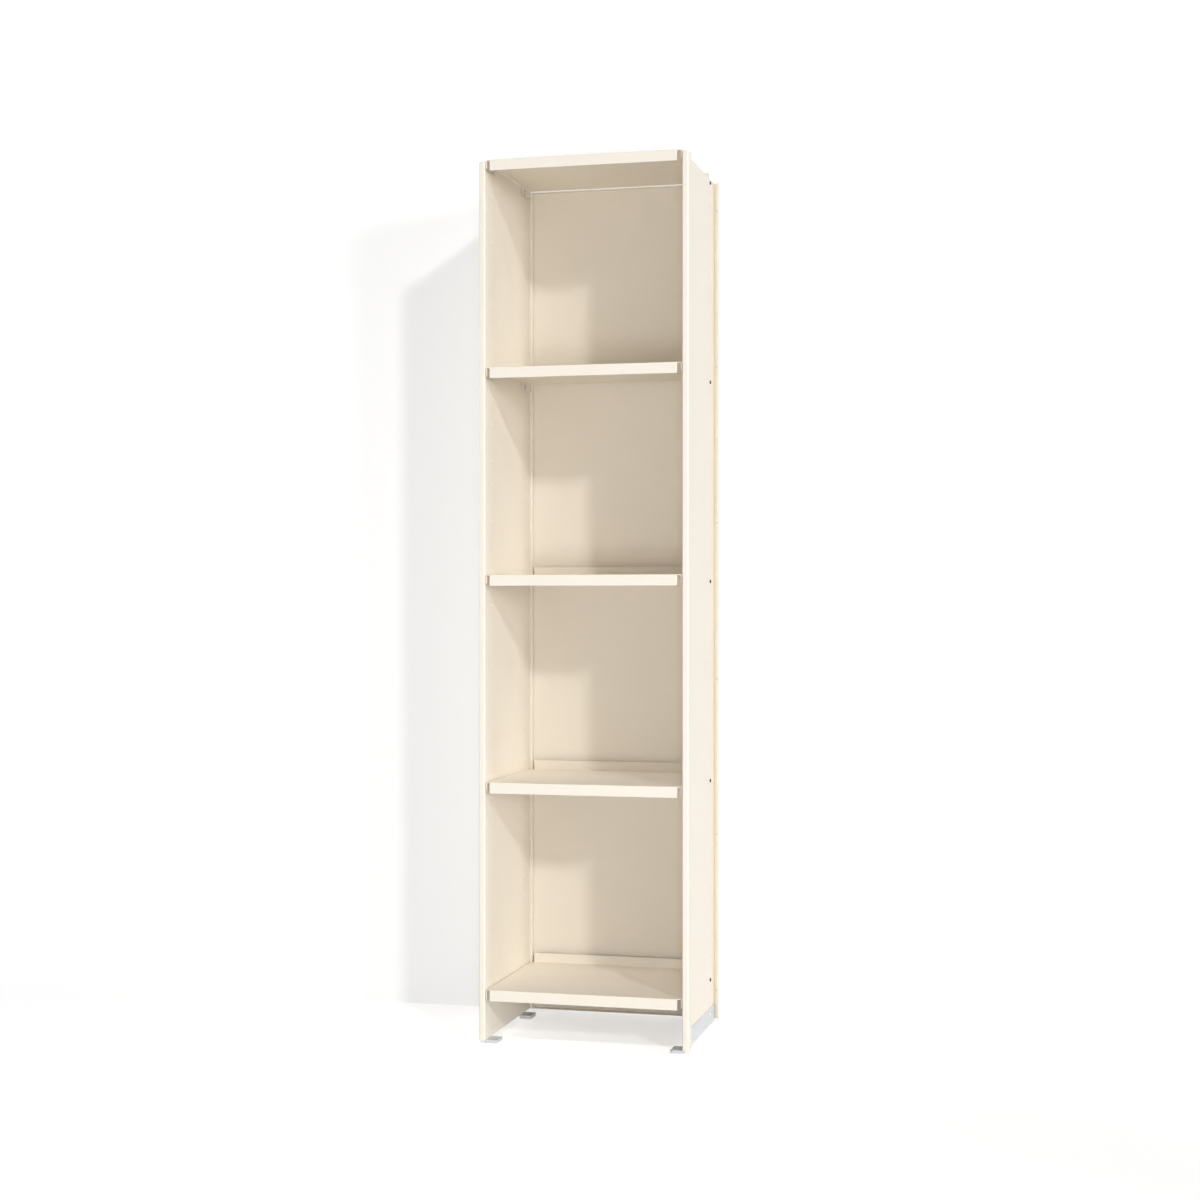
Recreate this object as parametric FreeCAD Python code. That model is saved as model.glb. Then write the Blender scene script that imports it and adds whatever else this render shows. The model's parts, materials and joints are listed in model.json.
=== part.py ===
import FreeCAD, Part
import math
import os

# Tall narrow shelving unit of folded aluminium sheet, powder coated.
# Two perforated side panels, a pan-shaped back panel and five shelves that hang on screws in the side panels.
# The origin is at the bottom centre of the whole unit, with +Z up and the front facing -Y.

# Driving dimensions, in millimetres

# Side panels: the web is on the inner side, and its flanges turn outwards and end in return lips
clear_width = 412.0          # between the inner faces of the two webs
panel_depth = 335.0          # front face to rear face of a side panel
flange_width = 13.0          # inner face of the web to outer face of the return lips
front_return = 30.0          # return lip of the front flange, along the depth
rear_return = 16.0           # return lip of the rear flange, along the depth
panel_sheet = 1.5
bend_radius = 1.0            # inside radius of every bend

# Hole columns in the webs
hole_pitch = 25.0
hole_rows = 72
hole_diameter = 4.5
hole_inset = 50.0            # hole column to the front or rear face of the side panel
hole_bottom_margin = 16.0    # bottom edge of the side panel to its lowest hole
hole_top_margin = 9.0        # highest hole to the top edge of the side panel

# Shelves
shelf_names = ["bottom_shelf", "second_shelf", "middle_shelf", "fourth_shelf", "top_shelf"]
first_shelf_row = 3          # hole row that carries the bottom shelf, counted from 0
rows_between_shelves = 17
shelf_sheet = 1.5
shelf_rise = 12.0            # centre of the carrying holes to the shelf's top face
lip_height = 22.5            # front lip, from the shelf's top face down
upstand_height = 20.5        # rear upstand, from the shelf's top face up
lip_setback = 10.0           # end of the lip and of the upstand to the web
end_gap = 1.2                # end of the shelf to the web
end_fold = 4.0               # fold along the shelf's end, from the top face down
tab_depth = 19.5             # hanging tab, from the top face down
tab_margin = 18.0            # centre of the carrying hole to the tab's inner end
corner_gap = 0.5             # end of the front bend, or of the rear one, to the corner of the sheet
wing_overlap = 5.0           # how far the end wings run into the middle of the shelf

# Hanging screws and their sleeve nuts
screw_clearance = 0.3        # radial, in the hole of the web
thread_clearance = 0.05      # radial, in the sleeve nut
head_land = 1.5              # how far a screw head overlaps the hole's edge
screw_head = 2.2
head_round = 1.2
socket_width = 2.5           # across the flats of the socket
socket_depth = 1.3
sleeve_land = 1.0            # how far the sleeve overlaps the hole's edge
sleeve_play = 0.6            # between the hanging tab and the sleeve's head
sleeve_head = 1.5
sleeve_head_land = 1.75
sleeve_edge = 0.4
hang_clearance = 0.3         # between the sleeve and the tab's slot

# Base rails, which carry the feet
rail_height = 31.0
rail_sheet = 2.0
rail_end_gap = 1.5           # end of the rail to the end of the flange's bend
foot_length = 40.0
foot_reach = 25.0            # how far a foot reaches inwards past the inner face of the web
rear_foot_setback = 39.5     # rear edge of the rear foot to the rear face of the side panel
rivet_clearance = 0.05
rivet_head = 1.2
rivet_land = 1.25
rivet_round = 0.9

# Foot pads
pad_thickness = 5.0
pad_corner = 3.0
pad_edge = 0.8
stud_diameter = 6.0          # stud on the pad that plugs into the foot
stud_clearance = 0.1

# Back panel: a shallow pan whose rim lies on the rear flanges, with a fold at its top and at its bottom
back_sheet = 1.2
pan_depth = 13.8             # rim's front face to the field's front face
rim_shown = 5.0              # inner face of the web to the pan's opening
rim_edge_gap = 1.5           # outer edge of the rim to the outer face of the side panel
pan_corner_gap = 0.5         # end of the top or bottom fold to the bend of the pan's side
back_screw_count = 6         # on each side
back_screw_margin = 60.0     # first and last screw to the ends of the back panel
back_screw_diameter = 3.5
back_screw_clearance = 0.05
back_screw_tip = 1.0         # how far the end stands out of the rear flange
back_screw_chamfer = 0.5     # at the screw's end
back_head_land = 1.75
back_screw_head = 2.0
back_head_round = 1.0

# Derived sizes
half_clear = clear_width / 2
half_width = half_clear + flange_width
overall_depth = panel_depth + pan_depth + back_sheet
front = -overall_depth / 2
rear = front + panel_depth
base = pad_thickness + rail_sheet
panel_height = hole_bottom_margin + (hole_rows - 1) * hole_pitch + hole_top_margin
hole_columns = [front + hole_inset, rear - hole_inset]
screw_diameter = hole_diameter - 2 * screw_clearance
screw_head_diameter = hole_diameter + 2 * head_land
sleeve_diameter = hole_diameter + 2 * sleeve_land
sleeve_length = end_gap + shelf_sheet + sleeve_play
rivet_diameter = hole_diameter - 2 * rivet_clearance
flange_middle = half_clear + flange_width / 2
rail_front = front + panel_sheet + bend_radius + rail_end_gap
rail_rear = rear - panel_sheet - bend_radius - rail_end_gap
foot_fronts = {"front": rail_front, "rear": rear - rear_foot_setback - foot_length}

up = FreeCAD.Vector(0, 0, 1)
right = FreeCAD.Vector(1, 0, 0)
back = FreeCAD.Vector(0, 1, 0)
middle = FreeCAD.Vector(0, 0, 0)


def hole_height(row):
    return base + hole_bottom_margin + row * hole_pitch


def shelf_row(index):
    return first_shelf_row + index * rows_between_shelves


def in_xy(u, v):
    return FreeCAD.Vector(u, v, 0)


def in_xz(u, v):
    return FreeCAD.Vector(u, 0, v)


def in_yz(u, v):
    return FreeCAD.Vector(0, u, v)


def mirrored(shape):
    return shape.mirror(middle, right)


def rounded_face(corners, plane):
    """Face inside straight edges, where each corner (u, v, radius) is rounded by its radius."""
    points = [plane(u, v) for u, v, radius in corners]
    starts = []
    ends = []
    edges = []
    for index, corner in enumerate(points):
        radius = corners[index][2]
        before = (points[index - 1] - corner).normalize()
        after = (points[(index + 1) % len(points)] - corner).normalize()
        half_angle = before.getAngle(after) / 2
        tangent = radius / math.tan(half_angle)
        starts.append(corner + before * tangent)
        ends.append(corner + after * tangent)
        if radius > 0:
            inwards = (before + after).normalize()
            deepest = corner + inwards * (radius / math.sin(half_angle) - radius)
            edges.append(Part.Arc(starts[-1], deepest, ends[-1]).toShape())
    for index, end in enumerate(ends):
        start = starts[(index + 1) % len(starts)]
        if end.distanceToPoint(start) > 1e-6:
            edges.append(Part.LineSegment(end, start).toShape())
    return Part.Face(Part.Wire(Part.__sortEdges__(edges)))


def folded_sheet(path, sheet, radius):
    """Corners of a folded sheet's section: the path is one face, and the sheet lies on its left."""
    one_face = []
    other_face = []
    last = len(path) - 1
    for index, (u, v) in enumerate(path):
        into = path[max(index, 1)], path[max(index, 1) - 1]
        out = path[min(index, last - 1) + 1], path[min(index, last - 1)]
        before = (FreeCAD.Vector(*into[0], 0) - FreeCAD.Vector(*into[1], 0)).normalize()
        after = (FreeCAD.Vector(*out[0], 0) - FreeCAD.Vector(*out[1], 0)).normalize()
        turn = before.x * after.y - before.y * after.x
        left_before = FreeCAD.Vector(-before.y, before.x, 0)
        left_after = FreeCAD.Vector(-after.y, after.x, 0)
        offset = (left_before + left_after) * (sheet / (1 + left_before * left_after))
        on_path = 0.0
        on_other = 0.0
        if turn > 1e-6:
            on_path = radius + sheet
            on_other = radius
        if turn < -1e-6:
            on_path = radius
            on_other = radius + sheet
        one_face.append((u, v, on_path))
        other_face.append((u + offset.x, v + offset.y, on_other))
    return one_face + other_face[::-1]


def turned(corners):
    """Round solid along +Z, from a half section whose corners are (radius from the axis, height, rounding)."""
    return rounded_face(corners, in_xz).revolve(middle, up, 360)


def aimed(shape, place, direction):
    """Copy of a solid made along +Z, moved to a place and turned to a direction."""
    copy = shape.copy()
    copy.Placement = FreeCAD.Placement(place, FreeCAD.Rotation(up, direction))
    return copy


def cross_hole(diameter, place, direction, length):
    """Round cutter of a given length, centred on a place."""
    start = place - direction * (length / 2)
    return Part.makeCylinder(diameter / 2, length, start, direction)


def back_screw_heights():
    span = panel_height - 2 * back_screw_margin
    step = span / (back_screw_count - 1)
    return [base + back_screw_margin + step * index for index in range(back_screw_count)]


# Side panels

def right_side_panel():
    path = [
        (half_width, rear - rear_return),
        (half_width, rear),
        (half_clear, rear),
        (half_clear, front),
        (half_width, front),
        (half_width, front + front_return),
    ]
    section = rounded_face(folded_sheet(path, panel_sheet, bend_radius), in_xy)
    panel = section.extrude(up * panel_height)
    panel.translate(up * base)
    cutters = []
    for depth in hole_columns:
        for row in range(hole_rows):
            place = FreeCAD.Vector(half_clear + panel_sheet / 2, depth, hole_height(row))
            cutters.append(cross_hole(hole_diameter, place, right, 2 * panel_sheet))
    for height in back_screw_heights():
        place = FreeCAD.Vector(flange_middle, rear - panel_sheet / 2, height)
        cutters.append(cross_hole(back_screw_diameter + 2 * back_screw_clearance, place, back, 2 * panel_sheet))
    return panel.cut(cutters)


# Back panel

def back_panel():
    opening = half_clear - rim_shown
    rim_edge = half_width - rim_edge_gap
    field = rear + pan_depth
    path = [
        (-rim_edge, rear),
        (-opening, rear),
        (-opening, field),
        (opening, field),
        (opening, rear),
        (rim_edge, rear),
    ]
    section = rounded_face(folded_sheet(path, back_sheet, bend_radius), in_xy)
    panel = section.extrude(up * panel_height)
    panel.translate(up * base)
    middle_height = up * (base + panel_height / 2)
    relief_half = opening - bend_radius
    fold_half = relief_half - pan_corner_gap
    fold_bend = back_sheet + bend_radius
    back_face = field + back_sheet
    fold_path = [(rear, base), (back_face, base), (back_face, base + 2 * fold_bend)]
    fold_section = rounded_face(folded_sheet(fold_path, back_sheet, bend_radius), in_yz)
    fold = fold_section.extrude(right * (2 * fold_half))
    fold.translate(right * -fold_half)
    relief_corner = FreeCAD.Vector(-relief_half, field - back_sheet, base - fold_bend)
    relief = Part.makeBox(2 * relief_half, 3 * back_sheet, 2 * fold_bend, relief_corner)
    cutters = [relief, relief.mirror(middle_height, up)]
    for side in (-1, 1):
        for height in back_screw_heights():
            place = FreeCAD.Vector(side * flange_middle, rear + back_sheet / 2, height)
            cutters.append(cross_hole(back_screw_diameter + 2 * back_screw_clearance, place, back, 2 * back_sheet))
    return panel.cut(cutters).fuse([fold, fold.mirror(middle_height, up)]).removeSplitter()


def right_back_screws():
    shank = back_screw_diameter / 2
    head = shank + back_head_land
    length = back_sheet + panel_sheet + back_screw_tip
    screw = turned([
        (0, -length, 0),
        (shank - back_screw_chamfer, -length, 0),
        (shank, -length + back_screw_chamfer, 0),
        (shank, 0, 0),
        (head, 0, 0),
        (head, back_screw_head, back_head_round),
        (0, back_screw_head, 0),
    ])
    places = [FreeCAD.Vector(flange_middle, rear + back_sheet, height) for height in back_screw_heights()]
    return Part.makeCompound([aimed(screw, place, back) for place in places])


# Shelves

def shelf(index):
    top = hole_height(shelf_row(index)) + shelf_rise
    face = rear - shelf_sheet
    path = [
        (face, top + upstand_height),
        (face, top),
        (front, top),
        (front, top - lip_height),
    ]
    middle_length = clear_width - 2 * lip_setback
    tray = rounded_face(folded_sheet(path, shelf_sheet, bend_radius), in_yz).extrude(right * middle_length)
    tray.translate(right * (-middle_length / 2))
    corner_relief = shelf_sheet + bend_radius + corner_gap
    wing_front = front + corner_relief
    wing_rear = rear - corner_relief
    tab_length = hole_inset + tab_margin - corner_relief
    pieces = [end_strip(top, end_fold, wing_front, wing_rear - wing_front)]
    pieces.append(end_strip(top, tab_depth, wing_front, tab_length))
    pieces.append(end_strip(top, tab_depth, wing_rear - tab_length, tab_length))
    cutters = [tab_slot(depth, hole_height(shelf_row(index)), top - tab_depth) for depth in hole_columns]
    right_end = pieces[0].fuse(pieces[1:]).cut(cutters)
    return tray.fuse([right_end, mirrored(right_end)]).removeSplitter()


def end_strip(top, drop, start, length):
    """Strip along the right end of a shelf: its top joins the shelf, and its edge is folded down."""
    end = half_clear - end_gap
    root = half_clear - lip_setback - wing_overlap
    section = folded_sheet([(end, top - drop), (end, top), (root, top)], shelf_sheet, bend_radius)
    strip = rounded_face(section, in_xz).extrude(back * length)
    strip.translate(back * start)
    return strip


def tab_slot(depth, height, tab_bottom):
    """Cutter for the slot, open at the bottom, by which a tab hangs on its sleeve."""
    radius = sleeve_diameter / 2 + hang_clearance
    inner_side = half_clear - end_gap - 2 * shelf_sheet
    length = 3 * shelf_sheet
    bottom = tab_bottom - shelf_sheet
    round_top = Part.makeCylinder(radius, length, FreeCAD.Vector(inner_side, depth, height), right)
    corner = FreeCAD.Vector(inner_side, depth - radius, bottom)
    return Part.makeBox(length, 2 * radius, height - bottom, corner).fuse(round_top)


def shelf_screws(index):
    shank = screw_diameter / 2
    head = screw_head_diameter / 2
    length = panel_sheet + sleeve_length - sleeve_edge
    screw = turned([
        (0, -length, 0),
        (shank, -length, 0),
        (shank, 0, 0),
        (head, 0, 0),
        (head, screw_head, min(head_round, 0.9 * screw_head)),
        (0, screw_head, 0),
    ])
    points = []
    for corner in range(7):
        angle = math.radians(60 * corner)
        reach = socket_width / 2 / math.cos(math.radians(30))
        points.append(FreeCAD.Vector(reach * math.cos(angle), reach * math.sin(angle), screw_head - socket_depth))
    socket = Part.Face(Part.makePolygon(points)).extrude(up * screw_head)
    screw = screw.cut(socket)
    face = half_clear + panel_sheet
    return at_four_corners(screw, face, hole_height(shelf_row(index)), right)


def shelf_sleeve_nuts(index):
    bore = screw_diameter / 2 + thread_clearance
    body = sleeve_diameter / 2
    head = body + sleeve_head_land
    end = sleeve_length + sleeve_head
    nut = turned([
        (bore, 0, 0),
        (body, 0, 0),
        (body, sleeve_length, 0),
        (head, sleeve_length, 0),
        (head, end, sleeve_edge),
        (0, end, 0),
        (0, sleeve_length, 0),
        (bore, sleeve_length, 0),
    ])
    return at_four_corners(nut, half_clear, hole_height(shelf_row(index)), -right)


def at_four_corners(solid, side, height, direction):
    """One copy at each hole column of each side panel, aimed along the direction on the right."""
    copies = []
    for depth in hole_columns:
        copies.append(aimed(solid, FreeCAD.Vector(side, depth, height), direction))
        copies.append(aimed(solid, FreeCAD.Vector(-side, depth, height), -direction))
    return Part.makeCompound(copies)


# Base rails and feet

def right_base_rail():
    face = half_clear + panel_sheet
    outer = face + rail_sheet
    inner = half_clear - foot_reach
    leg = Part.makeBox(rail_sheet, rail_rear - rail_front, rail_height, FreeCAD.Vector(face, rail_front, base))
    foot_path = [(inner, pad_thickness), (outer, pad_thickness), (outer, base + rail_sheet)]
    foot_section = rounded_face(folded_sheet(foot_path, rail_sheet, 0.0), in_xz)
    pieces = []
    cutters = []
    for start in foot_fronts.values():
        foot = foot_section.extrude(back * foot_length)
        foot.translate(back * start)
        pieces.append(foot)
        place = FreeCAD.Vector(half_clear - foot_reach / 2, start + foot_length / 2, base - rail_sheet / 2)
        cutters.append(cross_hole(stud_diameter + 2 * stud_clearance, place, up, 2 * rail_sheet))
    for depth in hole_columns:
        place = FreeCAD.Vector(outer - rail_sheet / 2, depth, hole_height(0))
        cutters.append(cross_hole(hole_diameter, place, right, 2 * rail_sheet))
    return leg.fuse(pieces).removeSplitter().cut(cutters)


def right_rail_rivets():
    shank = rivet_diameter / 2
    head = hole_diameter / 2 + rivet_land
    length = rail_sheet + panel_sheet
    rivet = turned([
        (0, -length, 0),
        (shank, -length, 0),
        (shank, 0, 0),
        (head, 0, 0),
        (head, rivet_head, rivet_round),
        (0, rivet_head, 0),
    ])
    face = half_clear + panel_sheet + rail_sheet
    places = [FreeCAD.Vector(face, depth, hole_height(0)) for depth in hole_columns]
    return Part.makeCompound([aimed(rivet, place, right) for place in places])


def right_foot_pad(start):
    inner = half_clear - foot_reach
    outer = half_clear + panel_sheet
    corners = [
        (inner, start, pad_corner),
        (outer, start, pad_corner),
        (outer, start + foot_length, pad_corner),
        (inner, start + foot_length, pad_corner),
    ]
    pad = rounded_face(corners, in_xy).extrude(up * pad_thickness)
    lower_edges = [edge for edge in pad.Edges if edge.BoundBox.ZMax < pad_thickness / 2]
    pad = pad.makeChamfer(pad_edge, lower_edges)
    stud_place = FreeCAD.Vector(half_clear - foot_reach / 2, start + foot_length / 2, pad_thickness)
    return pad.fuse(Part.makeCylinder(stud_diameter / 2, rail_sheet, stud_place, up))


nodes = {"back_panel": back_panel()}

for name, piece in [
    ("side_panel", right_side_panel()),
    ("base_rail", right_base_rail()),
    ("rail_rivets", right_rail_rivets()),
    ("back_screws", right_back_screws()),
]:
    nodes["right_" + name] = piece
    nodes["left_" + name] = mirrored(piece)

for end, start in foot_fronts.items():
    nodes[end + "_right_foot_pad"] = right_foot_pad(start)
    nodes[end + "_left_foot_pad"] = mirrored(right_foot_pad(start))

for index, name in enumerate(shelf_names):
    nodes[name] = shelf(index)
    nodes[name + "_screws"] = shelf_screws(index)
    nodes[name + "_sleeve_nuts"] = shelf_sleeve_nuts(index)

os.makedirs("parts", exist_ok=True)
for name, piece in nodes.items():
    piece.exportStep("parts/" + name + ".step")
    box = piece.BoundBox
    print(name, len(piece.Solids), "solids, valid", piece.isValid(), "volume", round(piece.Volume),
          "x %.1f %.1f y %.1f %.1f z %.1f %.1f" % (box.XMin, box.XMax, box.YMin, box.YMax, box.ZMin, box.ZMax))
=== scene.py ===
import bpy
import json
import math
import numpy as np
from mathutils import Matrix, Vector

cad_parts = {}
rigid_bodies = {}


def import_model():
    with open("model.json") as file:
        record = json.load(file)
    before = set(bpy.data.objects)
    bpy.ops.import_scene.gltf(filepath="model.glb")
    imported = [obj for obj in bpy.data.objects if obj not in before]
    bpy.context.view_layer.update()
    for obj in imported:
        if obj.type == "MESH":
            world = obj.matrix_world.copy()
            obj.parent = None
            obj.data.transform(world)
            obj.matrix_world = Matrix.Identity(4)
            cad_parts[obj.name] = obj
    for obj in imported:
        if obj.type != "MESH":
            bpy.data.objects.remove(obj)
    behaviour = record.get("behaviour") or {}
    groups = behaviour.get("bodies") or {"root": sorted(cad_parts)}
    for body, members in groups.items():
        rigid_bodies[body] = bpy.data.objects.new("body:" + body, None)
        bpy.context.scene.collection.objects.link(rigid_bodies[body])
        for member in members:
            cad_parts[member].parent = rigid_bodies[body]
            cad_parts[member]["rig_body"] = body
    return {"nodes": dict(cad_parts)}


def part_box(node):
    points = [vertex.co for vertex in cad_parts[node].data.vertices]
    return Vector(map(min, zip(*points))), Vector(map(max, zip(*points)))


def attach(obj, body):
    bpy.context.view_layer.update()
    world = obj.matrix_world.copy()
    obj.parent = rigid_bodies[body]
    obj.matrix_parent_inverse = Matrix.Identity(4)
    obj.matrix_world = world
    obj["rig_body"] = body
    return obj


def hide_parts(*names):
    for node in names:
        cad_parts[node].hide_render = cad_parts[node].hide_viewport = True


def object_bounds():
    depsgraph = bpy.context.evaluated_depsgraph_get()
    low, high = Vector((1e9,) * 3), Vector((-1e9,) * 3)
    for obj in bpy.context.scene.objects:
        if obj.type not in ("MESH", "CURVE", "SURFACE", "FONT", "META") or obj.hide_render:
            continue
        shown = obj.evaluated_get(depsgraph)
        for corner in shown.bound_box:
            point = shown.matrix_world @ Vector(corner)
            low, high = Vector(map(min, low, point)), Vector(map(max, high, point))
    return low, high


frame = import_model()
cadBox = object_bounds()

mm = 0.001  # real sizes are written in millimetres
shelfNames = ["bottom_shelf", "second_shelf", "middle_shelf", "fourth_shelf", "top_shelf"]


# Finishes

# An sRGB hex colour in linear light, by the curve of the sRGB standard
def linear(hexColour):
    values = np.array([int(hexColour[first:first + 2], 16) for first in (1, 3, 5)]) / 255
    levels = np.where(values <= 0.04045, values / 12.92, ((values + 0.055) / 1.055) ** 2.4)
    return (*levels.tolist(), 1.0)


# One shader node; a socket is linked if its value is another node's socket, and set if not
def addNode(tree, kind, sockets=None, **settings):
    node = tree.nodes.new(kind)
    for key, value in settings.items():
        setattr(node, key, value)
    for key, value in (sockets or {}).items():
        if isinstance(value, bpy.types.NodeSocket):
            tree.links.new(value, node.inputs[key])
        else:
            node.inputs[key].default_value = value
    return node


# Noise whose grains have a real size, the same all ways or one each along x, y and z
def pattern(tree, place, grain):
    scale = (1 / np.broadcast_to(grain, 3)).tolist()
    scaled = addNode(tree, "ShaderNodeMapping", {"Vector": place, "Scale": scale})
    noise = addNode(tree, "ShaderNodeTexNoise", {
        "Vector": scaled.outputs["Vector"], "Scale": 1.0, "Detail": 2.0})
    return noise.outputs["Fac"]


# A finish whose colour runs between two values with one pattern and its roughness with another, which the
# bump follows where the look has a height
def patternedFinish(name, look, colourGrain, surfaceGrain):
    finish = bpy.data.materials.new(name)
    finish.use_nodes = True
    tree = finish.node_tree
    shader = tree.nodes["Principled BSDF"]
    shader.inputs["Metallic"].default_value = look["metallic"]
    place = addNode(tree, "ShaderNodeTexCoord").outputs["Object"]
    colourFactor = pattern(tree, place, colourGrain)
    surfaceFactor = pattern(tree, place, surfaceGrain)
    tint = addNode(tree, "ShaderNodeMixRGB", {
        "Fac": colourFactor, "Color1": linear(look["light"]), "Color2": linear(look["dark"])})
    rough = addNode(tree, "ShaderNodeMapRange", {
        "Value": surfaceFactor, "To Min": look["smooth"], "To Max": look["rough"]})
    tree.links.new(tint.outputs["Color"], shader.inputs["Base Color"])
    tree.links.new(rough.outputs["Result"], shader.inputs["Roughness"])
    if "height" in look:
        bump = addNode(tree, "ShaderNodeBump", {
            "Height": surfaceFactor, "Distance": look["height"], "Strength": 1.0})
        tree.links.new(bump.outputs["Normal"], shader.inputs["Normal"])
    return finish


# Polyester powder coat: dry powder that melts in the oven and levels out, all but a faint orange peel.
# The eye gets an even cream colour with a soft half gloss; the peel shows only where light grazes.
powderCoat = {"light": "#F3EBDE", "dark": "#F0E8DA", "smooth": 0.44, "rough": 0.54, "metallic": 0.0,
              "height": 0.03 * mm, "cloud": 90 * mm, "peel": 2.6 * mm}
coat = patternedFinish("creamPowderCoat", powderCoat, powderCoat["cloud"], powderCoat["peel"])

# Galvanised sheet steel with a dull patina: a matt pale grey in which little of the metal's mirror is left.
# Faint streaks run along the strip; they are drawn about four times as wide as real ones, or none would show.
galvanised = {"light": "#D8D9DB", "dark": "#CCCED1", "smooth": 0.5, "rough": 0.66, "metallic": 0.2,
              "spangle": 7 * mm, "streakWidth": 1.2 * mm, "streakLength": 60 * mm}
streaks = [galvanised["streakWidth"], galvanised["streakLength"], galvanised["streakWidth"]]
galvanisedSheet = patternedFinish("galvanisedSheet", galvanised, galvanised["spangle"], streaks)

# Zinc plate on turned steel: a cool silver, with the faint cloudiness that the bath leaves.
zincPlate = {"light": "#DADCDE", "dark": "#C2C5C9", "smooth": 0.26, "rough": 0.4, "metallic": 1.0,
             "cloud": 3.5 * mm}
zinc = patternedFinish("zincPlate", zincPlate, zincPlate["cloud"], zincPlate["cloud"])

# Black oxide on steel: a thin dark layer under oil, near black with a soft sheen.
blackOxide = {"light": "#323236", "dark": "#232325", "smooth": 0.34, "rough": 0.5, "metallic": 0.0,
              "cloud": 2.5 * mm}
oxide = patternedFinish("blackOxide", blackOxide, blackOxide["cloud"], blackOxide["cloud"])

# Moulded polyethylene: pale grey and waxy, with the fine spark grain of its mould.
mouldedPad = {"light": "#D8D9DB", "dark": "#CDCED1", "smooth": 0.5, "rough": 0.62, "metallic": 0.0,
              "height": 0.05 * mm, "grain": 0.9 * mm}
polyethylene = patternedFinish("mouldedPolyethylene", mouldedPad, mouldedPad["grain"], mouldedPad["grain"])
print("finishes:", len(bpy.data.materials))


# Building

sheetEdge = {"round": 0.3 * mm, "steps": 2, "sharpAbove": math.radians(40)}
shareDigits = 9  # stops whose shares of a run agree to this many digits are one point


# One mesh piece in place of its node; the listed edges get the small round of a coated sheet edge
def addPiece(node, points, faces, finish, softEdges=None):
    mesh = bpy.data.meshes.new(node + "_piece")
    mesh.from_pydata(points.tolist(), [], faces)
    mesh.polygons.foreach_set("use_smooth", np.ones(len(mesh.polygons), bool))
    mesh.set_sharp_from_angle(angle=sheetEdge["sharpAbove"])
    mesh.materials.append(finish)
    piece = bpy.data.objects.new(node + "_piece", mesh)
    bpy.context.collection.objects.link(piece)
    if softEdges is not None:
        ends = np.empty(2 * len(mesh.edges), np.int32)
        mesh.edges.foreach_get("vertices", ends)
        ends = np.sort(ends.reshape(-1, 2), axis=1).astype(np.int64)
        wanted = np.sort(softEdges, axis=1).astype(np.int64)
        soft = np.isin(ends @ [len(points), 1], wanted @ [len(points), 1])
        sharp = np.empty(len(soft), bool)
        mesh.edges.foreach_get("use_edge_sharp", sharp)
        mesh.edges.foreach_set("use_edge_sharp", sharp & ~soft)
        weights = mesh.attributes.new("bevel_weight_edge", "FLOAT", "EDGE")
        weights.data.foreach_set("value", soft.astype(np.float32))
        rounding = piece.modifiers.new("edgeRound", "BEVEL")
        rounding.width = sheetEdge["round"]
        rounding.segments = sheetEdge["steps"]
        rounding.limit_method = "WEIGHT"
    flats = piece.modifiers.new("flatFaces", "WEIGHTED_NORMAL")
    flats.keep_sharp = True
    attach(piece, frame["nodes"][node]["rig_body"])
    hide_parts(node)


# The same sheet on the right and, mirrored, on the left
def addMirroredPair(name, points, faces, finish, softEdges):
    addPiece("right_" + name, points, faces.tolist(), finish, softEdges)
    addPiece("left_" + name, points * [-1, 1, 1], faces[:, ::-1].tolist(), finish, softEdges)


# The middle line of a folded sheet's section. Runs are straight, and each corner is a quarter circle whose
# radius is the inside radius plus half the sheet. Every point has a unit normal, to the left of the way along
# the line. A run gets a point at each of its stops.
def foldedLine(corners, sheet, insideRadius, stops=None, bendSteps=6):
    corners = np.array(corners, float)
    ways = np.diff(corners, axis=0)
    ways = ways / np.linalg.norm(ways, axis=1, keepdims=True)
    bend = insideRadius + sheet / 2
    angles = np.linspace(0, math.pi / 2, bendSteps + 1)[1:-1, None]
    last = len(ways) - 1
    points = []
    normals = []
    runs = []
    for run, way in enumerate(ways):
        left = np.array([-way[1], way[0]])
        start = corners[run] + way * bend * (run > 0)
        end = corners[run + 1] - way * bend * (run < last)
        axis = np.argmax(np.abs(way))
        inner = (np.array((stops or {}).get(run, [])) - start[axis]) / (end[axis] - start[axis])
        share = np.unique(np.round(np.concatenate([[0, 1], inner]), shareDigits))[:, None]
        points.append(start + (end - start) * share)
        normals.append(np.repeat(left[None], len(share), axis=0))
        runs.append(np.full(len(share), float(run)))
        if run < last:
            turn = np.sign(way[0] * ways[run + 1][1] - way[1] * ways[run + 1][0])
            around = left * np.cos(angles) - way * turn * np.sin(angles)
            points.append(end + left * turn * bend - around * turn * bend)
            normals.append(around)
            runs.append(np.full(len(around), run + 0.5))
    return {"points": np.concatenate(points), "normals": np.concatenate(normals),
            "runs": np.concatenate(runs)}


# Where a run of a line has the wanted coordinates, as indices
def indexOn(line, run, values, axis=0):
    distance = np.abs(line["points"][:, axis][None] - np.array(values)[:, None])
    return np.argmin(distance + (line["runs"] != run)[None], axis=1)


# Middles of the cells between a line's points, and the run of each cell
def cellsOf(line):
    centres = (line["points"][1:] + line["points"][:-1]) / 2
    return centres, (line["runs"][1:] + line["runs"][:-1]) / 2


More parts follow.
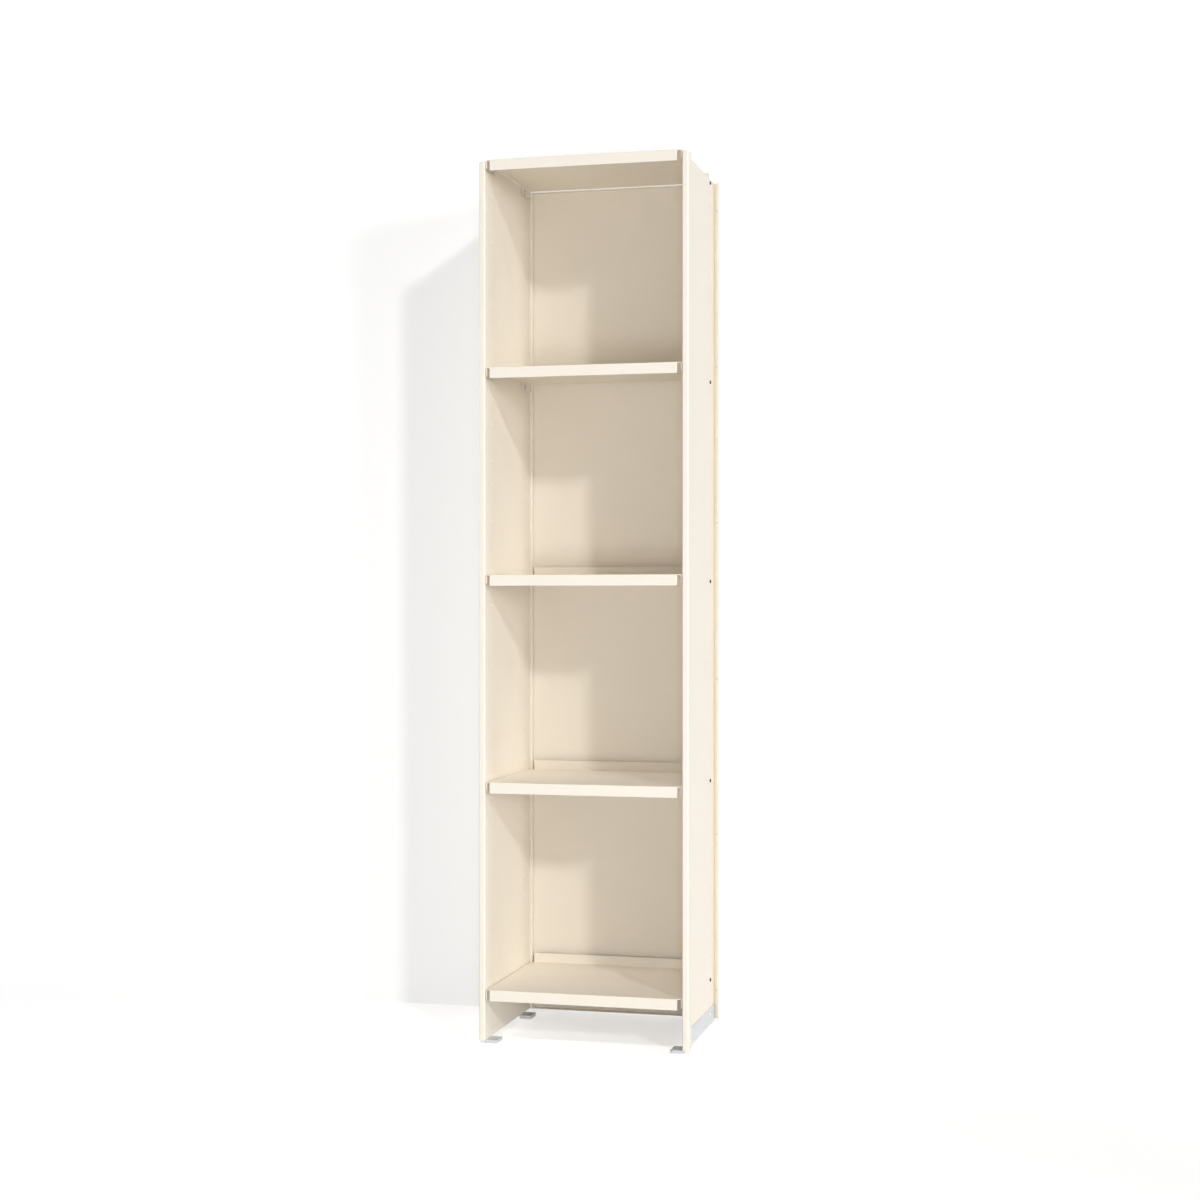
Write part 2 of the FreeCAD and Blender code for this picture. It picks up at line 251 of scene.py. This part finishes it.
# Middle surface of a sheet folded along two families of lines: the point (i, j) takes its first place from
# line u, its second from line v, and its height from the sum of both. Its normal takes its first part from u,
# its second from v, and its height from the product of both.
def foldedSurface(axes, u, v):
    first, second, height = axes
    middle = np.zeros((len(u["points"]), len(v["points"]), 3))
    normal = np.zeros_like(middle)
    middle[..., first] = u["points"][:, None, 0]
    middle[..., second] = v["points"][None, :, 0]
    middle[..., height] = u["points"][:, None, 1] + v["points"][None, :, 1]
    normal[..., first] = u["normals"][:, None, 0]
    normal[..., second] = v["normals"][None, :, 0]
    normal[..., height] = u["normals"][:, None, 1] * v["normals"][None, :, 1]
    return middle, normal


# Grid indices round a block of cells, anticlockwise from its first corner, for each of several first corners
def roundBlock(columns, starts, steps):
    walk = np.arange(steps)
    zeros = np.zeros(steps, int)
    across = np.concatenate([walk, zeros + steps, steps - walk, zeros])
    along = np.concatenate([zeros, walk, zeros + steps, steps - walk])
    return (starts[:, :1] + across) * columns + starts[:, 1:] + along


# Leave out a square block of cells at each start, to make room for the ring round a hole
def cutBlocks(kept, starts, steps):
    block = np.arange(steps)
    kept[starts[:, 0, None, None] + block[:, None], starts[:, 1, None, None] + block] = False


# Edge of a round hole: for each point round it, the point towards it at the hole's radius
def holeEdge(outer, centre, radius):
    offset = outer - centre
    return centre + offset / np.linalg.norm(offset, axis=-1, keepdims=True) * radius


# The sheet's two faces lie half a sheet to each side of the middle surface, and a wall joins them at every
# free edge. A ring of faces runs from the grid to the edge of each hole. The free edges that lie on the grid
# are given back with the points and faces.
def thickSheet(middle, normal, sheet, kept, rings=()):
    rows, columns = middle.shape[:2]
    grid = np.arange(rows * columns).reshape(rows, columns)
    quads = [np.stack([grid[:-1, :-1], grid[1:, :-1], grid[1:, 1:], grid[:-1, 1:]], axis=-1)[kept]]
    points = [middle.reshape(-1, 3)]
    normals = [normal.reshape(-1, 3)]
    count = rows * columns
    for outer, edge, closed in rings:
        inner = count + np.arange(outer.size).reshape(outer.shape)
        ring = np.stack([outer, np.roll(outer, -1, axis=1), np.roll(inner, -1, axis=1), inner], axis=-1)
        quads.append((ring if closed else ring[:, :-1]).reshape(-1, 4))
        points.append(edge.reshape(-1, 3))
        normals.append(normals[0][outer.ravel()])
        count += inner.size
    quads = np.concatenate(quads)
    points = np.concatenate(points)
    normals = np.concatenate(normals)
    starts = quads.ravel()
    ends = np.roll(quads, -1, axis=1).ravel()
    free = ~np.isin(starts * count + ends, ends * count + starts)
    starts = starts[free]
    ends = ends[free]
    walls = np.stack([ends, starts, starts + count, ends + count], axis=1)
    faces = np.concatenate([quads, quads[:, ::-1] + count, walls])
    bothSides = np.concatenate([points + normals * sheet / 2, points - normals * sheet / 2])
    ofSheet = np.minimum(starts, ends) < rows * columns
    edges = np.stack([starts, ends], axis=1)[ofSheet]
    edges = np.concatenate([edges, edges + count])
    used = np.unique(faces)
    place = np.zeros(2 * count, int)
    place[used] = np.arange(len(used))
    return bothSides[used], place[faces], place[edges]


# Side panels

sidePanel = {"sheet": 1.5 * mm, "insideRadius": 1.0 * mm, "frontReturn": 30 * mm, "rearReturn": 16 * mm,
             "holePitch": 25 * mm, "holeRows": 72, "holeRadius": 2.25 * mm, "holeInset": 50 * mm,
             "firstHole": 16 * mm, "cell": 16 * mm, "cellSteps": 4}


# C section with a long lip turned back behind the front flange and a short one before the rear flange,
# carried up; a ring of faces goes round each hole of the web
def addSidePanels():
    part = sidePanel
    webRun = 2
    low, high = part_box("right_side_panel")
    half = part["sheet"] / 2
    lip = high.x - half
    web = low.x + half
    front = low.y + half
    rear = high.y - half
    columns = np.array([low.y + part["holeInset"], high.y - part["holeInset"]])
    rows = low.z + part["firstHole"] + part["holePitch"] * np.arange(part["holeRows"])
    cellStops = np.linspace(-part["cell"] / 2, part["cell"] / 2, part["cellSteps"] + 1)
    section = foldedLine([
        (low.y + part["frontReturn"], lip), (front, lip), (front, web), (rear, web), (rear, lip),
        (high.y - part["rearReturn"], lip),
    ], part["sheet"], part["insideRadius"], {webRun: (columns[:, None] + cellStops).ravel()})
    height = foldedLine([(low.z, 0), (high.z, 0)], part["sheet"], 0,
                        {0: (rows[:, None] + cellStops).ravel()})
    middle, normal = foldedSurface((1, 2, 0), section, height)
    kept = np.ones((len(section["points"]) - 1, len(height["points"]) - 1), bool)
    iStarts = indexOn(section, webRun, columns + cellStops[0])
    jStarts = indexOn(height, 0, rows + cellStops[0])
    starts = np.stack(np.meshgrid(iStarts, jStarts, indexing="ij"), axis=-1).reshape(-1, 2)
    cutBlocks(kept, starts, part["cellSteps"])
    outer = roundBlock(middle.shape[1], starts, part["cellSteps"])
    centres = np.stack(np.meshgrid(columns, rows, indexing="ij"), axis=-1).reshape(-1, 1, 2)
    centres = np.concatenate([np.full_like(centres[..., :1], web), centres], axis=-1)
    edge = holeEdge(middle.reshape(-1, 3)[outer], centres, part["holeRadius"])
    points, faces, edges = thickSheet(middle, normal, part["sheet"], kept, [(outer, edge, True)])
    addMirroredPair("side_panel", points, faces, coat, edges)


addSidePanels()
print("side panels:", 2 * sidePanel["holeRows"], "holes each")


# Back panel

backPanel = {"sheet": 1.2 * mm, "insideRadius": 1.0 * mm, "rimShown": 5 * mm, "cornerGap": 0.5 * mm,
             "slantAbove": 0.01 * mm}


# Pan section across, with a fold at the top and at the bottom; the corners of the blank are cut away. The
# edges that slant beside a cut corner stay sharp, and all others get the small round.
def addBackPanel():
    part = backPanel
    uprightField = 1
    acrossField = 2
    low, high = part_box("back_panel")
    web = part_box("right_side_panel")[0].x
    half = part["sheet"] / 2
    field = high.y - half
    side = web - part["rimShown"] + half
    relief = web - part["rimShown"] - part["insideRadius"]
    foldEnd = relief - part["cornerGap"]
    upright = foldedLine([
        (low.z + half, low.y), (low.z + half, field), (high.z - half, field), (high.z - half, low.y),
    ], part["sheet"], part["insideRadius"])
    rim = low.y + half - field
    across = foldedLine([
        (low.x, rim), (-side, rim), (-side, 0), (side, 0), (side, rim), (high.x, rim),
    ], part["sheet"], part["insideRadius"], {acrossField: [-foldEnd, foldEnd]})
    middle, normal = foldedSurface((2, 0, 1), upright, across)
    inField = cellsOf(upright)[1] == uprightField
    inFold = np.abs(cellsOf(across)[0][:, 0]) < foldEnd
    kept = inField[:, None] | inFold[None]
    ends = np.flatnonzero(upright["runs"] == uprightField)[[0, -1]]
    outside = np.abs(across["points"][:, 0]) > foldEnd + part["cornerGap"] / 2
    for row, edgeHeight in zip(ends, (low.z, high.z)):
        middle[row, outside, 2] = edgeHeight
    points, faces, edges = thickSheet(middle, normal, part["sheet"], kept)
    span = np.abs(np.diff(points[edges], axis=1))[:, 0]
    slanted = (span[:, 0] > part["slantAbove"]) & (span[:, 2] > part["slantAbove"])
    addPiece("back_panel", points, faces.tolist(), coat, edges[~slanted])


addBackPanel()
print("back panel: one pan")


# Shelves

shelfSheet = {"sheet": 1.5 * mm, "insideRadius": 1.0 * mm, "lipHeight": 22.5 * mm, "lipSetback": 8.8 * mm,
              "cornerGap": 0.5 * mm, "endFold": 4 * mm, "tabDepth": 19.5 * mm, "tabMargin": 18 * mm,
              "holeDrop": 12 * mm, "slotRadius": 3.55 * mm, "slotCell": 12 * mm, "cellSteps": 4}


# Tray section across the depth, with a fold down each end; the corners of the blank are cut away. The end
# folds reach down in tabs, and each tab has a slot, open at the bottom, that hangs on a sleeve.
def addShelf(node):
    part = shelfSheet
    leftEnd, trayRun, rightEnd = 0, 1, 2
    steps = part["cellSteps"]
    low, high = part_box(node)
    half = part["sheet"] / 2
    top = low.z + part["lipHeight"]
    flat = top - half
    end = high.x - half
    lipEnd = high.x - part["lipSetback"]
    relief = part["sheet"] + part["insideRadius"] + part["cornerGap"]
    wings = np.array([low.y + relief, high.y - relief])
    holes = np.array([low.y + sidePanel["holeInset"], high.y - sidePanel["holeInset"]])
    tabEnds = np.array([holes[0] + part["tabMargin"], holes[1] - part["tabMargin"]])
    slotTop = top - part["holeDrop"]
    foldBottom = top - part["endFold"]
    tabBottom = top - part["tabDepth"]
    drops = np.array([foldBottom, (foldBottom + slotTop) / 2, slotTop, (slotTop + tabBottom) / 2])
    cellStops = np.linspace(-part["slotCell"] / 2, part["slotCell"] / 2, steps + 1)
    across = foldedLine([(-end, tabBottom), (-end, flat), (end, flat), (end, tabBottom)], part["sheet"],
                        part["insideRadius"], {leftEnd: drops, trayRun: [-lipEnd, lipEnd], rightEnd: drops})
    depth = foldedLine([
        (low.y + half, low.z - flat), (low.y + half, 0), (high.y - half, 0), (high.y - half, high.z - flat),
    ], part["sheet"], part["insideRadius"],
        {trayRun: np.concatenate([wings, tabEnds, (holes[:, None] + cellStops).ravel()])})
    middle, normal = foldedSurface((0, 1, 2), across, depth)
    acrossCentres = cellsOf(across)[0]
    depthCentres, depthRuns = cellsOf(depth)
    y = depthCentres[:, 0]
    inTray = np.abs(acrossCentres[:, 0]) < lipEnd
    inWing = (depthRuns == trayRun) & (y > wings[0]) & (y < wings[1])
    inTab = inWing & ((y < tabEnds[0]) | (y > tabEnds[1]))
    isDeep = acrossCentres[:, 1] < foldBottom
    kept = inTray[:, None] | (inWing[None] & ~isDeep[:, None]) | (inTab[None] & isDeep[:, None])
    rings = []
    jStarts = indexOn(depth, trayRun, holes + cellStops[0])
    for run, firstHeight in ((leftEnd, tabBottom), (rightEnd, foldBottom)):
        iStart = indexOn(across, run, [firstHeight], axis=1)
        starts = np.stack([np.repeat(iStart, 2), jStarts], axis=1)
        cutBlocks(kept, starts, steps)
        outer = roundBlock(middle.shape[1], starts, steps)
        outer = np.concatenate([outer, outer[:, :1]], axis=1)
        # The ring leaves out the side of the block at the tab's bottom: its last on the left, its second on
        # the right
        if run == leftEnd:
            outer = outer[:, :3 * steps + 1]
        else:
            outer = np.concatenate([outer[:, 2 * steps:], outer[:, 1:steps + 1]], axis=1)
        around = middle.reshape(-1, 3)[outer]
        centre = np.stack([around[:, 0, 0], holes, np.full(2, slotTop)], axis=1)[:, None]
        offset = around - centre
        straight = centre + offset * [0, 0, 1] + np.sign(offset) * [0, part["slotRadius"], 0]
        edge = np.where(offset[..., 2:] < 0, straight, holeEdge(around, centre, part["slotRadius"]))
        rings.append((outer, edge, False))
    points, faces, edges = thickSheet(middle, normal, part["sheet"], kept, rings)
    addPiece(node, points, faces.tolist(), coat, edges)


for name in shelfNames:
    addShelf(name)
print("shelves:", len(shelfNames))


# Base rails

baseRail = {"sheet": 2.0 * mm, "insideRadius": 0.3 * mm, "studRadius": 3.1 * mm, "studCell": 10 * mm,
            "cellSteps": 4}


# L section with the leg standing on the web and the foot turned inwards, cut back to two feet; a ring of
# faces goes round the hole for each pad's stud
def addBaseRails():
    part = baseRail
    footRun, legRun = 0, 1
    low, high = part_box("right_base_rail")
    half = part["sheet"] / 2
    pads = [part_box("front_right_foot_pad"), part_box("rear_right_foot_pad")]
    feet = np.array([(padLow.y, padHigh.y) for padLow, padHigh in pads])
    studs = feet.mean(axis=1)
    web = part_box("right_side_panel")[0].x
    studX = (low.x + web) / 2
    cellStops = np.linspace(-part["studCell"] / 2, part["studCell"] / 2, part["cellSteps"] + 1)
    length = foldedLine([(low.y, 0), (high.y, 0)], part["sheet"], 0,
                        {0: np.concatenate([feet.ravel(), (studs[:, None] + cellStops).ravel()])})
    section = foldedLine([
        (low.z + half, low.x), (low.z + half, high.x - half), (high.z, high.x - half),
    ], part["sheet"], part["insideRadius"], {footRun: studX + cellStops})
    middle, normal = foldedSurface((1, 2, 0), length, section)
    along = cellsOf(length)[0][:, 0]
    onFoot = ((along[:, None] > feet[:, 0]) & (along[:, None] < feet[:, 1])).any(axis=1)
    onLeg = cellsOf(section)[1] == legRun
    kept = onLeg[None] | onFoot[:, None]
    iStarts = indexOn(length, 0, studs + cellStops[0])
    jStart = indexOn(section, footRun, [studX + cellStops[0]], axis=1)
    starts = np.stack([iStarts, np.repeat(jStart, 2)], axis=1)
    cutBlocks(kept, starts, part["cellSteps"])
    outer = roundBlock(middle.shape[1], starts, part["cellSteps"])
    centre = np.stack([np.full(2, studX), studs, np.full(2, low.z + half)], axis=1)[:, None]
    edge = holeEdge(middle.reshape(-1, 3)[outer], centre, part["studRadius"])
    points, faces, edges = thickSheet(middle, normal, part["sheet"], kept, [(outer, edge, True)])
    addMirroredPair("base_rail", points, faces, galvanisedSheet, edges)


addBaseRails()
print("base rails: 2")


# Foot pads

footPad = {"corner": 3 * mm, "lowerEdge": 0.8 * mm, "upperEdge": 0.3 * mm, "thickness": 5 * mm,
           "studRadius": 3 * mm, "cornerSteps": 8}


# Faces between rings of equal count, with a flat cap at each end
def stackedRings(rings):
    levels, steps = rings.shape[:2]
    index = np.arange(levels * steps).reshape(levels, steps)
    nextStep = np.roll(index, -1, axis=1)
    quads = np.stack([index[:-1], nextStep[:-1], nextStep[1:], index[1:]], axis=-1).reshape(-1, 4)
    return rings.reshape(-1, 3), quads.tolist() + [index[0][::-1].tolist(), index[-1].tolist()]


# Rings carried up: a rounded rectangle drawn in at the bottom and top edges, then the round stud on it
def addFootPad(node):
    part = footPad
    low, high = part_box(node)
    centre = np.array([(low.x + high.x) / 2, (low.y + high.y) / 2])
    reach = np.array([high.x - low.x, high.y - low.y]) / 2
    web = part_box("right_side_panel")[0].x
    studX = math.copysign((min(abs(low.x), abs(high.x)) + web) / 2, centre[0])
    steps = part["cornerSteps"]
    angles = (np.arange(4)[:, None] * 90 + np.linspace(0, 90, steps)[None]).ravel()
    angles = np.radians(angles)
    towards = np.stack([np.cos(angles), np.sin(angles)], axis=1)
    quadrant = np.repeat(np.array([(1, 1), (-1, 1), (-1, -1), (1, -1)]), steps, axis=0)
    evenAngles = (np.arange(4 * steps) + 0.5) * 2 * math.pi / (4 * steps)
    evenly = np.stack([np.cos(evenAngles), np.sin(evenAngles)], axis=1)
    rings = []
    padTop = low.z + part["thickness"]
    for inset, level in ((part["lowerEdge"], low.z), (0, low.z + part["lowerEdge"]),
                         (0, padTop - part["upperEdge"]), (part["upperEdge"], padTop)):
        outline = centre + quadrant * (reach - part["corner"]) + towards * (part["corner"] - inset)
        rings.append(np.column_stack([outline, np.full(len(outline), level)]))
    for inset, level in ((0, padTop), (0, high.z - part["upperEdge"]), (part["upperEdge"], high.z)):
        outline = np.array([studX, centre[1]]) + evenly * (part["studRadius"] - inset)
        rings.append(np.column_stack([outline, np.full(len(outline), level)]))
    points, faces = stackedRings(np.array(rings))
    addPiece(node, points, faces, polyethylene)


for end in ("front", "rear"):
    for side in ("left", "right"):
        addFootPad(end + "_" + side + "_foot_pad")
print("foot pads: 4")


# Turned fasteners

# Profile points (radius, height, corners) go round an axis. Where corners is 1 the ring is a hexagon, and the
# radius is half its width across the flats. The number of fasteners is given back.
def addTurned(node, profile, places, finish, steps=24):
    profile = np.array(profile, float)
    angles = np.arange(steps) * 2 * math.pi / steps
    sixth = math.pi / 3
    hexagon = 1 / np.cos(angles % sixth - sixth / 2)
    radius = profile[:, :1] * np.where(profile[:, 2:] > 0, hexagon, 1.0)
    allPoints = []
    allFaces = []
    for place, axis in places:
        axis = np.array(axis, float)
        sideways = np.abs(np.roll(axis, 1))
        upwards = np.cross(axis, sideways)
        rings = (np.array(place) + profile[:, 1, None, None] * axis
                 + (radius * np.cos(angles))[..., None] * sideways
                 + (radius * np.sin(angles))[..., None] * upwards)
        points, faces = stackedRings(rings)
        first = sum(len(group) for group in allPoints)
        allPoints.append(points)
        allFaces += [[first + corner for corner in face] for face in faces]
    addPiece(node, np.concatenate(allPoints), allFaces, finish)
    return len(places)


# Quarter round at the outer edge of a head, from its side to its top
def headRound(radius, height, rounding, steps=5):
    angles = np.linspace(0, math.pi / 2, steps)
    return [(radius - rounding * (1 - math.cos(angle)), height - rounding * (1 - math.sin(angle)), 0)
            for angle in angles]


# Domed head on a round shank, with a hexagon socket where the part has one
def headProfile(part):
    profile = [(part["shank"], 0, 0), (part["head"], 0, 0)]
    profile += headRound(part["head"], part["headHeight"], part["round"])
    if "socketFlat" in part:
        profile += [(part["socketFlat"], part["headHeight"], 1),
                    (part["socketFlat"], part["headHeight"] - part["socketDepth"], 1)]
    return profile


hangingScrew = {"shank": 1.95 * mm, "head": 3.75 * mm, "headHeight": 2.2 * mm, "round": 1.2 * mm,
                "socketFlat": 1.25 * mm, "socketDepth": 1.3 * mm, "length": 4.4 * mm}
sleeveNut = {"bore": 2.0 * mm, "body": 3.25 * mm, "head": 5.0 * mm, "bodyLength": 3.3 * mm,
             "headHeight": 1.5 * mm, "edge": 0.4 * mm, "edgeSteps": 3}
railRivet = {"shank": 2.2 * mm, "head": 3.5 * mm, "headHeight": 1.2 * mm, "round": 0.9 * mm,
             "length": 3.5 * mm}
backScrew = {"shank": 1.75 * mm, "head": 3.5 * mm, "headHeight": 2.0 * mm, "round": 1.0 * mm,
             "socketFlat": 0.9 * mm, "socketDepth": 0.8 * mm, "length": 3.7 * mm, "endChamfer": 0.5 * mm,
             "count": 6, "margin": 60 * mm}

panelLow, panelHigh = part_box("right_side_panel")
innerFace = panelLow.x
outerFace = innerFace + sidePanel["sheet"]
holeColumns = (panelLow.y + sidePanel["holeInset"], panelHigh.y - sidePanel["holeInset"])


# Places at a shelf's four holes: x on the right and its mirror on the left. The axes point outwards where
# outwards is 1 and inwards where it is -1.
def shelfPlaces(shelf, x, outwards):
    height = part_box(shelf)[0].z + shelfSheet["lipHeight"] - shelfSheet["holeDrop"]
    places = []
    for y in holeColumns:
        places.append(((x, y, height), (outwards, 0, 0)))
        places.append(((-x, y, height), (-outwards, 0, 0)))
    return places


def addHangingScrews(shelf):
    part = hangingScrew
    profile = [(part["shank"], -part["length"], 0)] + headProfile(part)
    return addTurned(shelf + "_screws", profile, shelfPlaces(shelf, outerFace, 1), oxide)


def addSleeveNuts(shelf):
    part = sleeveNut
    profile = [(part["bore"], part["bodyLength"], 0), (part["bore"], 0, 0), (part["body"], 0, 0),
               (part["body"], part["bodyLength"], 0), (part["head"], part["bodyLength"], 0)]
    headTop = part["bodyLength"] + part["headHeight"]
    profile += headRound(part["head"], headTop, part["edge"], part["edgeSteps"])
    return addTurned(shelf + "_sleeve_nuts", profile, shelfPlaces(shelf, innerFace, -1), zinc)


def addRailRivets(side, sign):
    part = railRivet
    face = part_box("right_base_rail")[1].x
    height = panelLow.z + sidePanel["firstHole"]
    profile = [(part["shank"], -part["length"], 0)] + headProfile(part)
    places = [((sign * face, y, height), (sign, 0, 0)) for y in holeColumns]
    return addTurned(side + "_rail_rivets", profile, places, zinc)


def addBackScrews(side, sign):
    part = backScrew
    low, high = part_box("back_panel")
    face = low.y + backPanel["sheet"]
    x = sign * (panelLow.x + panelHigh.x) / 2
    heights = np.linspace(low.z + part["margin"], high.z - part["margin"], part["count"])
    profile = [(part["shank"] - part["endChamfer"], -part["length"], 0),
               (part["shank"], part["endChamfer"] - part["length"], 0)] + headProfile(part)
    places = [((x, face, height), (0, 1, 0)) for height in heights]
    return addTurned(side + "_back_screws", profile, places, zinc)


fastenerCount = 0
for name in shelfNames:
    fastenerCount += addHangingScrews(name)
    fastenerCount += addSleeveNuts(name)
for side, sign in (("left", -1), ("right", 1)):
    fastenerCount += addRailRivets(side, sign)
    fastenerCount += addBackScrews(side, sign)
print("fasteners:", fastenerCount)


# Stage: pale floor and wall, plain soft light and the camera

white = (1, 1, 1, 1)


# Rays that show the background: from the camera, and from gloss and glass
def backgroundRays(tree):
    path = addNode(tree, "ShaderNodeLightPath").outputs
    seen = path["Is Camera Ray"]
    for kind in ("Is Glossy Ray", "Is Transmission Ray"):
        either = addNode(tree, "ShaderNodeMath", {0: seen, 1: path[kind]}, operation="MAXIMUM")
        seen = either.outputs[0]
    return seen


# Pale matt paint. The background's rays see it lifted to white, and the object's shadow stays on it.
def paleMatt(name, look):
    finish = bpy.data.materials.new(name)
    finish.use_nodes = True
    tree = finish.node_tree
    shader = tree.nodes["Principled BSDF"]
    shader.inputs["Base Color"].default_value = linear(look["pale"])
    shader.inputs["Roughness"].default_value = 1.0
    shader.inputs["Specular IOR Level"].default_value = 0.0
    shader.inputs["Emission Color"].default_value = white
    lift = addNode(tree, "ShaderNodeMath", {0: backgroundRays(tree), 1: look["lift"]}, operation="MULTIPLY")
    tree.links.new(lift.outputs[0], shader.inputs["Emission Strength"])
    return finish


def addStagePlane(name, corners, finish):
    mesh = bpy.data.meshes.new(name)
    mesh.from_pydata(corners, [], [[0, 1, 2, 3]])
    mesh.materials.append(finish)
    plane = bpy.data.objects.new(name, mesh)
    bpy.context.collection.objects.link(plane)
    return plane


# Reach and gap are in metres; the gap lies between the object's rear and the wall
floorLook = {"pale": "#F2F2F2", "lift": 0.515, "reach": 6.0}
wallLook = {"pale": "#F2F2F2", "lift": 0.24, "reach": 6.0, "gap": 0.012}

reach = floorLook["reach"]
addStagePlane("floor", [(-reach, -reach, 0), (reach, -reach, 0), (reach, reach, 0), (-reach, reach, 0)],
              paleMatt("plainFloor", floorLook))

# The wall only catches the shadow behind the object: it lights nothing, and from behind it is clear
reach = wallLook["reach"]
wallFace = cadBox[1][1] + wallLook["gap"]
wallPaint = paleMatt("plainWall", wallLook)
tree = wallPaint.node_tree
clear = addNode(tree, "ShaderNodeBsdfTransparent").outputs[0]
painted = tree.nodes["Principled BSDF"].outputs[0]
behind = addNode(tree, "ShaderNodeNewGeometry").outputs["Backfacing"]
oneSided = addNode(tree, "ShaderNodeMixShader", {0: behind, 1: painted, 2: clear})
tree.links.new(oneSided.outputs[0], tree.nodes["Material Output"].inputs["Surface"])
wall = addStagePlane("wall", [(-reach, wallFace, 0), (reach, wallFace, 0), (reach, wallFace, reach),
                              (-reach, wallFace, reach)], wallPaint)
wall.visible_diffuse = False
wall.visible_glossy = False
wall.visible_transmission = False
wall.visible_shadow = False

# Far lamps. The turn is counted from the front towards the right, and the rise from the floor. Both, and the
# angle that the lamp fills in the sky, are in degrees.
farLamps = {
    "key": {"turn": 39.3, "rise": 23.4, "strength": 0.8, "angle": 4.0},
    "sideFill": {"turn": 53.0, "rise": 3.5, "strength": 1.22, "angle": 14.0},
    "endFill": {"turn": 88.0, "rise": 8.0, "strength": 0.66, "angle": 10.0},
    "topFill": {"turn": 12.0, "rise": 51.0, "strength": 0.82, "angle": 8.0},
    "rearFill": {"turn": 235.0, "rise": 4.0, "strength": 2.2, "angle": 20.0},
}
# One soft lamp, low beside the camera; its place, aim and size are in metres and its power is in watts
lowFill = {"place": (0.92, -4.35, 0.45), "aim": (0, 0, 1.0), "size": 0.8, "power": 39.0}
worldStrength = 0.12  # even light from all round; the background's rays see full white


# A lamp that shines from the given direction
def addLamp(name, kind, towards):
    lamp = bpy.data.lights.new(name, kind)
    holder = bpy.data.objects.new(name, lamp)
    holder.rotation_euler = Vector(towards).to_track_quat("Z", "Y").to_euler()
    bpy.context.collection.objects.link(holder)
    return holder, lamp


for name, look in farLamps.items():
    turn = math.radians(look["turn"])
    rise = math.radians(look["rise"])
    towards = (math.sin(turn) * math.cos(rise), -math.cos(turn) * math.cos(rise), math.sin(rise))
    lamp = addLamp(name, "SUN", towards)[1]
    lamp.energy = look["strength"]
    lamp.angle = math.radians(look["angle"])

holder, lamp = addLamp("lowFill", "AREA", Vector(lowFill["place"]) - Vector(lowFill["aim"]))
holder.location = lowFill["place"]
lamp.size = lowFill["size"]
lamp.energy = lowFill["power"]

world = bpy.data.worlds.new("studio")
bpy.context.scene.world = world
world.use_nodes = True
worldTree = world.node_tree
backdrop = worldTree.nodes["Background"]
strength = addNode(worldTree, "ShaderNodeMapRange", {
    "Value": backgroundRays(worldTree), "To Min": worldStrength, "To Max": 1.0})
backdrop.inputs["Color"].default_value = white
worldTree.links.new(strength.outputs["Result"], backdrop.inputs["Strength"])

# A level camera, fitted to the edges of panels and shelves in the photograph: its place is in metres, its
# turn in degrees, its lens and sensor in millimetres
cameraView = {"place": (1.0306, -4.1347, 0.9084), "turn": 14.086, "lens": 60.69, "sensor": 36.0}
cameraData = bpy.data.cameras.new("camera")
cameraData.lens = cameraView["lens"]
cameraData.sensor_width = cameraView["sensor"]
camera = bpy.data.objects.new("camera", cameraData)
camera.location = cameraView["place"]
camera.rotation_euler = (math.pi / 2, 0, math.radians(cameraView["turn"]))
bpy.context.collection.objects.link(camera)
bpy.context.scene.camera = camera
bpy.context.scene.view_settings.view_transform = "Standard"
print("stage: floor, wall, lights and camera")
